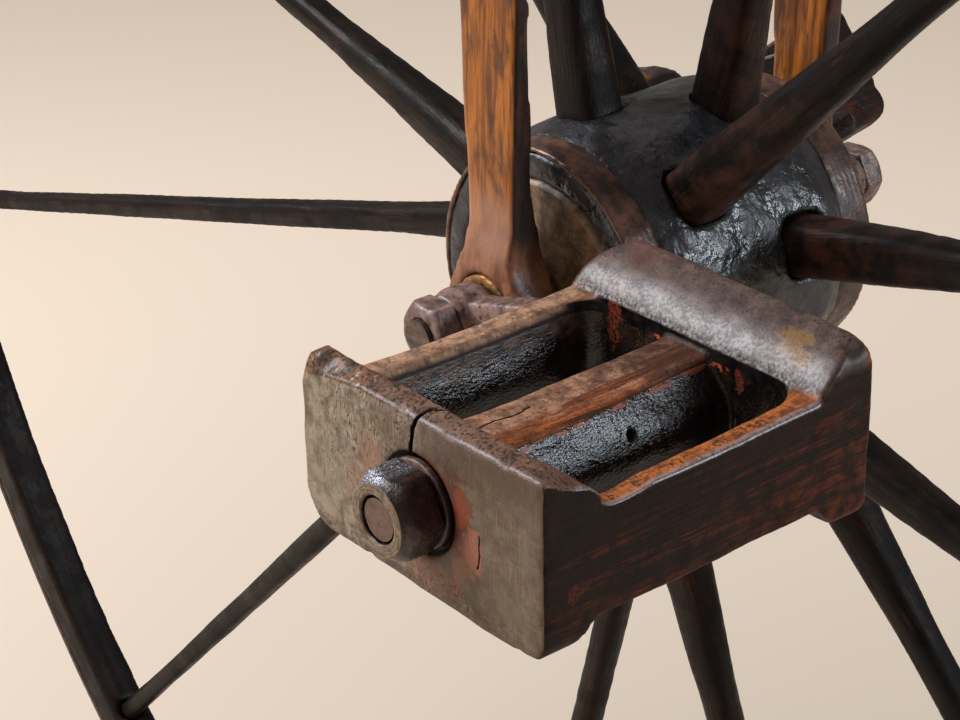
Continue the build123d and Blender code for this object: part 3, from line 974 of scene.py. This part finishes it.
# How far the outer plate's top and foot are worn down at its face, read along x
TOP_WEAR = [(-44.5, 4.8), (-40, 4.4), (-36.7, 3.6), (-20.7, 1.5), (8.4, 1.2), (43.3, 0.2), (44.5, 0.6)]
FOOT_WEAR = [(-44, 4.5), (-39.7, 2.4), (-35.6, 0.8), (-28, 0.8), (2.7, 0), (19, 0), (34.9, 0.2), (44.7, 1.2)]
# How far the carved slope between plate and rail reaches inwards, read along z
SLOPE_REACH = [(-6, 0), (4, 1.4), (13, 4.9), (15, 7.4), (17, 6.5), (19, 4.7), (21, 2.8), (23.8, 0)]
# How far the inner plate's rounded face stands in from a plain slope, read along z
PLATE_REACH = [
    (-16.5, 0), (-12, 4), (0, 4.5), (13, 4.5), (14, 3.8), (15, 3.3), (16, 2.95), (17, 2.8), (18, 2.7),
    (19, 2.85), (20, 3.15), (21, 3.5), (22, 4.1), (23, 4.8), (24, 5.2), (25, 5.2),
]
# Dents knocked into the pedal: x, u, z, radius and depth
PEDAL_DENTS = [
    (-38, 1, 20, 5, 0.4), (-30, 6, 22, 3, 0.3), (-17, 6.5, 22.5, 2.5, 0.6), (-6, 0.5, 22.5, 2, 0.5),
    (12, 0.5, 23, 3, 0.5), (31, 0.5, 24, 2.5, 0.7), (44, 0.5, 20, 3, 0.5), (44.5, 0.5, 3, 2.5, 0.5),
    (44.5, 0.5, -12, 3, 0.7), (-44.5, 0.5, 8, 7, 0.25), (-40, 103, 20, 6, 0.6), (20, 104, 24, 5, 0.5),
    (41, 100, 22, 4, 0.7), (8, 92, 24, 4, 0.4), (-41, 52, 13, 4, 0.5), (-39, 66, 13, 3, 0.5),
    (41, 30, 13, 5, 0.6), (42, 60, 13, 4, 0.4), (2, 40, 11.6, 5, 0.5), (-3, 62, 11.6, 4, 0.5),
    (44.5, 84, 6, 5, 0.4), (44.5, 40, -10, 6, 0.5), (35, 0, -24.5, 3, 0.5), (-20, 0, -24, 3, 0.7),
]
PEDAL_LUMPS = [(22, 0.35), (7, 0.16), (2.6, 0.06)]


def wear_outer_plate(own, x, u, z):
    plate = ramp(14, 8, u)
    fade = 6.5 - 3.8 * ramp(-35, -40, x)
    own.z -= ramp(fade, 0, u) * ramp(8, 22, z) * between(TOP_WEAR, x)
    # Its rear corner is square at the very end, and worn flat before it
    square = ramp(-41.5, -43.5, x) * ramp(14, 19, z) * ramp(0.3, 2, u) * plate
    own += Vector((-0.4, 0, 0.6)) * square
    own.z -= 0.2 * plateau(-43.5, -41, -36, -30, x) * ramp(17, 22, z) * plate
    own.z += plate * ramp(-10, -24.5, z) * between(FOOT_WEAR, x)


def wear_rails_and_bar(own, x, u, z):
    # The rails run up to the outer plate's top in a carved slope, with a low place at its foot
    on_side = ramp(34, 36, x) + 0.25 * ramp(-34, -36, x)
    own.y += plateau(0, 7, 15, 31, u) * between(SLOPE_REACH, z) * on_side
    own.z -= 1.5 * plateau(15, 21.5, 23, 34, own.y) * ramp(34, 36, x) * ramp(2, 12, z)
    own.z -= 3 * plateau(1, 7, 8, 14.5, own.y) * ramp(37, 44.5, x) * ramp(13, 21, z)
    # Rails and bar are worn down most in the middle of their length
    middle = plateau(12, 40, 50, 84, u)
    own.z -= 0.7 * middle * ramp(34, 38, abs(x)) * ramp(4, 13, z) * ramp(8, 14, u)
    own.z -= 0.5 * middle * ramp(12, 8, abs(x)) * ramp(4, 11, z) * ramp(9, 14, u)
    # The bar was carved narrower towards its inner end, on the front side
    own.x -= 2.6 * plateau(2, 9, 12, 15, x) * ramp(30, 84, u) * ramp(3, 10, z)
    # Its flanks swell towards the middle of its height, and so does the rear rail's inner wall
    swell = ramp(11, -4, z) * ramp(8, 12, u)
    on_flank = plateau(4, 9, 13, 16, abs(x)) * ramp(86, 80, u)
    own.x += math.copysign(5, x) * swell * on_flank
    own.x += 3.4 * swell * plateau(-39.5, -37, -35, -31, x) * ramp(82, 72, u)


def wear_pedal(form, place, seed):
    dents = [(Vector(row[:3]), row[3], row[4]) for row in PEDAL_DENTS]
    form.normal_update()
    for vert in form.verts:
        own = place.own(vert.co)
        x, u, z = own
        wear_outer_plate(own, x, u, z)
        wear_rails_and_bar(own, x, u, z)
        # The inner plate rises steeply from the slots, then rounds over to its top
        own.y += plateau(73, 82, 94, 104.5, u) * between(PLATE_REACH, z)
        for centre, radius, depth in dents:
            gap = (own - centre).length / radius
            if gap < 1:
                push = depth * (1 - gap * gap) ** 2
                own -= (place.to_pedal @ vert.normal) * (MM * push)
        vert.co = place.world(own)
    make_lumpy(form, PEDAL_LUMPS, seed)


def crack_ribbon(place, path, foot, top, width, seed, lean=((0, 0),)):
    # A crooked upright ribbon, as thick as the crack is wide, along (x, u) points, leaning by rows of (z, x)
    form = bmesh.new()
    verts = [form.verts.new((x, u, foot)) for x, u in path]
    edges = [form.edges.new(pair) for pair in zip(verts, verts[1:])]
    bmesh.ops.subdivide_edges(form, edges=edges, cuts=3)
    steps = 12
    rim = form.edges[:]
    for _ in range(steps):
        grown = bmesh.ops.extrude_edge_only(form, edges=rim)["geom"]
        rim = [item for item in grown if isinstance(item, bmesh.types.BMEdge)]
        moved = [item for item in grown if isinstance(item, bmesh.types.BMVert)]
        bmesh.ops.translate(form, verts=moved, vec=(0, 0, (top - foot) / steps))
    for vert in form.verts:
        vert.co.x += between(lean, vert.co.z)
        for size, swing in ((3, 0.55), (0.9, 0.2)):
            vert.co.x += swing * noise.noise(Vector((vert.co.z / size, vert.co.y / size, seed)))
    bmesh.ops.recalc_face_normals(form, faces=form.faces)
    bmesh.ops.solidify(form, geom=form.faces[:], thickness=width)
    for vert in form.verts:
        vert.co = place.world(vert.co)
    return form


def drill(place, start, end, radius):
    form = bmesh.new()
    low, high = place.world(start), place.world(end)
    along = high - low
    bmesh.ops.create_cone(form, cap_ends=True, segments=20, radius1=radius * MM, radius2=radius * MM,
                          depth=along.length)
    turn = along.to_track_quat("Z", "Y").to_matrix().to_4x4()
    bmesh.ops.transform(form, matrix=Matrix.Translation((low + high) / 2) @ turn, verts=form.verts)
    return form


# How the splits in the outer plate lean, as rows of (z, x)
SPLIT_LEAN = [(8, -3.4), (11.5, -2.9), (17.9, -1.9), (22.7, 0)]
FACE_CRACK_LEAN = [(-9, -1.1), (-7.2, -0.5), (-4.6, 0.2), (-2, -0.1), (0.6, 0.1), (3, -1.2)]
# Cracks: (x, u) points, foot, top, width, seed and lean. The outer plate has split from the spindle's hole to
# its top, first in its face and then in its top edge. Then one in the bar's top, and a short one in the face.
CRACKS = [
    ([(1.2, -2), (1.4, 0.6), (1.5, 2.5), (2.4, 4.9)], 8, 30, 1.15, 2, SPLIT_LEAN),
    ([(2, 4.4), (4, 6.4), (5.8, 7.6), (7.4, 9.2), (8.4, 11.2)], 10, 30, 0.85, 5, SPLIT_LEAN),
    ([(-1.6, 8.5), (-2.1, 15), (-1.7, 20), (-2.3, 25.5), (-1.9, 31), (-2.6, 37)], 9.3, 20, 0.45, 8),
    ([(22.3, -1.5), (22.5, 0.9)], -8, 1, 0.36, 11, FACE_CRACK_LEAN),
]
# Oil hole into the bar's front side: from, to, and radius
OIL_HOLE = ((4, 55.5, 1.5), (18, 55, 4.2), 1.55)


def in_slot(own, facing):
    # True on the walls of the two slots, below the rubbed edges
    inside = abs(own.x) < 37.6 and 7.5 < own.y < 93
    top, steepest = (10.2, 0.72) if abs(own.x) < 16 else (9.6, 0.45)
    return inside and -17 < own.z < top and -0.6 < facing.z < steepest


def make_pedal(side, skin_mm, seed):
    place = PedalPlace(side)
    node = f"pedal_block_{side}"
    form = fine_skin(copy_of(node), skin_mm)
    soften(form, 1)
    wear_pedal(form, place, seed)
    for crack in CRACKS:
        form = cut_away(form, crack_ribbon(place, *crack))
    form = cut_away(form, drill(place, *OIL_HOLE))
    piece = stand_for(node, form, f"pedal_{side}", f"pedal_{side}_carved")
    piece.data.materials.append(FINISH[f"slots_{side}"])
    for polygon in piece.data.polygons:
        if in_slot(place.own(polygon.center), place.to_pedal @ polygon.normal * MM):
            polygon.material_index = 1


# Spindle ends, nuts and washers

def from_spindle(vert, side):
    return Vector((vert.co.x - SPINDLE[side].x, 0, vert.co.z - SPINDLE[side].z))


def make_spindle(side):
    # The spindle ends just inside its nut, with a thin dark groove round it
    node = f"pedal_spindle_{side}"
    end = outer_end("pedal_spindle", side)
    groove, sunk, slimmer = 2.2 * MM, 0.8 * MM, 0.11
    form = copy_of(node)
    for vert in form.verts:
        if abs(vert.co.y - end) < groove:
            vert.co -= from_spindle(vert, side) * slimmer + AXLE_LINE * (SIDES[side] * sunk)
    piece = stand_for(node, form, f"nut_{side}", f"{node}_riveted")
    for polygon in piece.data.polygons:
        polygon.use_smooth = abs(polygon.normal.y) < 0.9


def make_pedal_nut(side):
    # A worn hexagon, its front turned down nearly round
    node = f"pedal_nut_{side}"
    face = outer_end("pedal_nut", side)
    shift = outer_end("pedal_spindle", side) - face - SIDES[side] * 0.1 * MM
    front_radius, more_behind = 9.3, 2.3
    form = fine_skin(copy_of(node), 0.42)
    for vert in form.verts:
        depth = abs(vert.co.y - face) / MM
        away = from_spindle(vert, side)
        most = (front_radius + more_behind * ramp(0, 3.6, depth)) * MM
        if away.length > most:
            vert.co -= away * (1 - most / away.length)
        vert.co.y += shift * ramp(9, 0, depth)
    soften(form, 4)
    make_lumpy(form, [(3, 0.16), (1.1, 0.06)], SIDES[side])
    stand_for(node, form, f"nut_{side}")


def make_washer(side):
    # The washer is worn down at its rim, and leaves a dark gap round it in its seat
    node = f"pedal_washer_{side}"
    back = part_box(node)[1 if side == "near" else 0].y
    smaller, thinner = 0.085, 0.55 * MM
    form = fine_skin(copy_of(node), 0.4)
    for vert in form.verts:
        away = from_spindle(vert, side)
        rim = ramp(8, 12, away.length / MM)
        vert.co -= away * (smaller * rim)
        vert.co.y -= SIDES[side] * thinner * rim * ramp(0.4, 1.6, abs(vert.co.y - back) / MM)
    soften(form, 2)
    make_lumpy(form, [(4, 0.1)], SIDES[side])
    stand_for(node, form, f"washer_{side}")


# The wheel: spokes, slightly bowed and with faces that aren't quite true, tyre and bolts

SPOKES = 12
FELLOES = 6
# A spoke's middle line starts in the nave and ends in the rim, from the axle in mm
SPOKE_START = 33
SPOKE_LENGTH = 484
SPOKE_HALF_FOOT = 8.5 * MM
BOLT_LEAN_DEG = 5


def wear_spoke(form, index):
    seed = index * 2.7
    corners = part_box(f"spoke_{index + 1:02d}")
    # How far the spoke's middle line is from the wheel's at the nave, on the side that it leans from
    row_y = corners[1].y - SPOKE_HALF_FOOT if index % 2 == 0 else corners[0].y + SPOKE_HALF_FOOT
    middle = sum((vert.co for vert in form.verts), Vector()) / len(form.verts) - AXLE
    across = AXLE_LINE.cross(Vector((middle.x, 0, middle.z)).normalized())
    for vert in form.verts:
        arm = vert.co - Vector((AXLE.x, vert.co.y, AXLE.z))
        radius = arm.length / MM
        side = AXLE_LINE.cross(arm.normalized())
        free = plateau(70, 160, 430, 500, radius)
        sway = noise.noise(Vector((radius / 170, seed, 0)))
        swell = noise.noise(Vector((radius / 60, seed, 4)))
        middle_y = row_y * (1 - (radius - SPOKE_START) / SPOKE_LENGTH)
        vert.co.y += (0.07 * swell - 0.06) * free * (vert.co.y - middle_y)
        vert.co -= across * (0.13 * free * arm.dot(across))
        vert.co += side * (1.1 * free * sway * MM)


def make_spoke(index):
    node = f"spoke_{index + 1:02d}"
    form = fine_skin(copy_of(node), 2)
    soften(form, 4)
    wear_spoke(form, index)
    make_lumpy(form, [(34, 0.3), (12, 0.08)], index * 3.1)
    stand_for(node, form, "spoke_wood")


def make_tyre():
    # A plain iron band, with its four corners rounded and a little uneven from the road
    form = copy_of("iron_tyre")
    round_off(form, [edge for edge in form.edges if edge.is_manifold and edge.calc_face_angle() > 1], 0.7)
    make_lumpy(form, [(60, 0.3), (25, 0.12)], 1)
    stand_for("iron_tyre", form, "dark_iron")


def make_bolt(angle, twist):
    # A square nut inside the rim, with the end of its bolt
    form = bmesh.new()
    bmesh.ops.create_cube(form, size=1)
    bmesh.ops.scale(form, verts=form.verts, vec=Vector((5, 10.5, 10.5)) * MM)
    round_off(form, form.edges[:], 0.9)
    stub = Matrix.Translation(Vector((-3.6 * MM, 0, 0))) @ Matrix.Rotation(math.pi / 2, 4, "Y")
    bmesh.ops.create_cone(form, cap_ends=True, segments=14, radius1=3.1 * MM, radius2=2.7 * MM,
                          depth=4 * MM, matrix=stub)
    place = Matrix.Translation(AXLE) @ Matrix.Rotation(angle, 4, "Y")
    place = place @ Matrix.Translation(Vector((RIM_INNER - 2.1 * MM, 0, 0))) @ Matrix.Rotation(twist, 4, "X")
    bmesh.ops.transform(form, matrix=place, verts=form.verts)
    return as_object(form, "bolt")


def make_tyre_bolts():
    # One each side of every felloe joint
    form = bmesh.new()
    for joint in range(FELLOES):
        for lean in (-BOLT_LEAN_DEG, BOLT_LEAN_DEG):
            angle = math.radians(lean - joint * 360 / FELLOES)
            bolt = make_bolt(angle, 0.5 * math.sin(joint * 2 + lean))
            form.from_mesh(bolt.data)
            discard(bolt)
    finish_piece("tyre_bolts", form, "wheel", "dark_iron")


def make_stem():
    # The steering stem, with its thread cut as a helix
    node = "steering_stem"
    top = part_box(node)[1].z
    pitch, half_depth = 3, 0.45
    form = fine_skin(copy_of(node), 0.8)
    for vert in form.verts:
        radius = math.hypot(vert.co.x, vert.co.y) / MM
        height = (top - vert.co.z) / MM
        cut = plateau(7, 8, 9.6, 10.4, radius) * plateau(0.8, 2.5, 22.5, 23.5, height)
        turn = math.atan2(vert.co.y, vert.co.x) - 2 * math.pi * height / pitch
        push = cut * half_depth * (math.cos(turn) - 1) * MM
        vert.co += Vector((vert.co.x, vert.co.y, 0)).normalized() * push
    make_lumpy(form, [(24, 0.15)], 4)
    stand_for(node, form, "dark_iron")


scene = bpy.context.scene
scene.view_settings.view_transform = "Standard"
place_camera()
make_stage()
light_scene()

# One finish for each slot of the record, and more for pieces that look different
FINISH = {
    "dark_iron": old_iron("dark_iron", (34, 27, 26), (66, 47, 39), 0.5, 0.4),
    "varnished_iron": streaked_varnish(),
    "bronze": brown_varnish("bush_bronze", (96, 58, 26), (168, 112, 52), 0.34),
    "spoke_wood": wheel_wood("spoke_wood", 160, False),
    "nave_wood": black_paint(),
    "cap_metal": brown_varnish("cap_metal", (80, 60, 42), (142, 109, 77), 0.4),
    "pedal_wood": pedal_wood("near"),
    # Paler than dark_iron: painted light on the crank and axle nut, as if lit from above
    "crank_iron": old_iron("crank_iron", (78, 58, 52), (146, 118, 108), 0.4, 0.34),
    "rim_wood": wheel_wood("rim_wood", 505, True),
    "hub_ring": brown_varnish("hub_ring", (58, 38, 32), (112, 74, 56), 0.3),
    "pedal_far": pedal_wood("far"),
}
FINISH["pedal_near"] = FINISH["pedal_wood"]
for kind, finish_of_side in (("slots", slot_paint), ("nut", nut_iron), ("washer", washer_iron)):
    for side in SIDES:
        FINISH[f"{kind}_{side}"] = finish_of_side(side)
for name, slot in slot_of.items():
    mesh = nodes[name].data
    mesh.materials.clear()
    mesh.materials.append(FINISH[slot])

# The near pedal has the finer skin, because the photograph is close to it
for side, skin, seed in (("near", 0.85, 3), ("far", 1.2, 11)):
    make_pedal(side, skin, seed)
    make_spindle(side)
    make_washer(side)
    make_pedal_nut(side)

# Pieces of each side: node, finish, skin size, lumps as (size, height) rows, and passes of softening
WORN = [
    ("axle_nut", "crank_iron", 0.45, [(4, 0.2), (1.4, 0.05)], 4),
    ("crank", "crank_iron", 0.9, [(16, 0.4), (5, 0.12)], 2),
    ("fork_leg", "varnished_iron", 1.6, [(30, 0.4), (7, 0.12)], 2),
    ("nave_band", "hub_ring", 1.2, [(12, 0.25), (4, 0.1)], 1),
    ("nave_cap", "cap_metal", 1.2, [(14, 0.3), (4, 0.1)], 1),
    ("axle_bush", "bronze", 1, [(6, 0.1)], 1),
]
for kind, *how in WORN:
    for side in SIDES:
        worn_piece(f"{kind}_{side}", *how, SIDES[side])

worn_piece("wheel_nave", "nave_wood", 1.4, [(14, 0.8), (5, 0.25)], 2)
worn_piece("fork_crown", "varnished_iron", 1.6, [(24, 0.4), (6, 0.12)], 2)
make_tyre()
for index in range(SPOKES):
    make_spoke(index)
make_tyre_bolts()
make_stem()
for number in range(1, FELLOES + 1):
    worn_piece(f"felloe_{number}", "rim_wood", 2.2, [(40, 0.3), (9, 0.12)], 2, number)
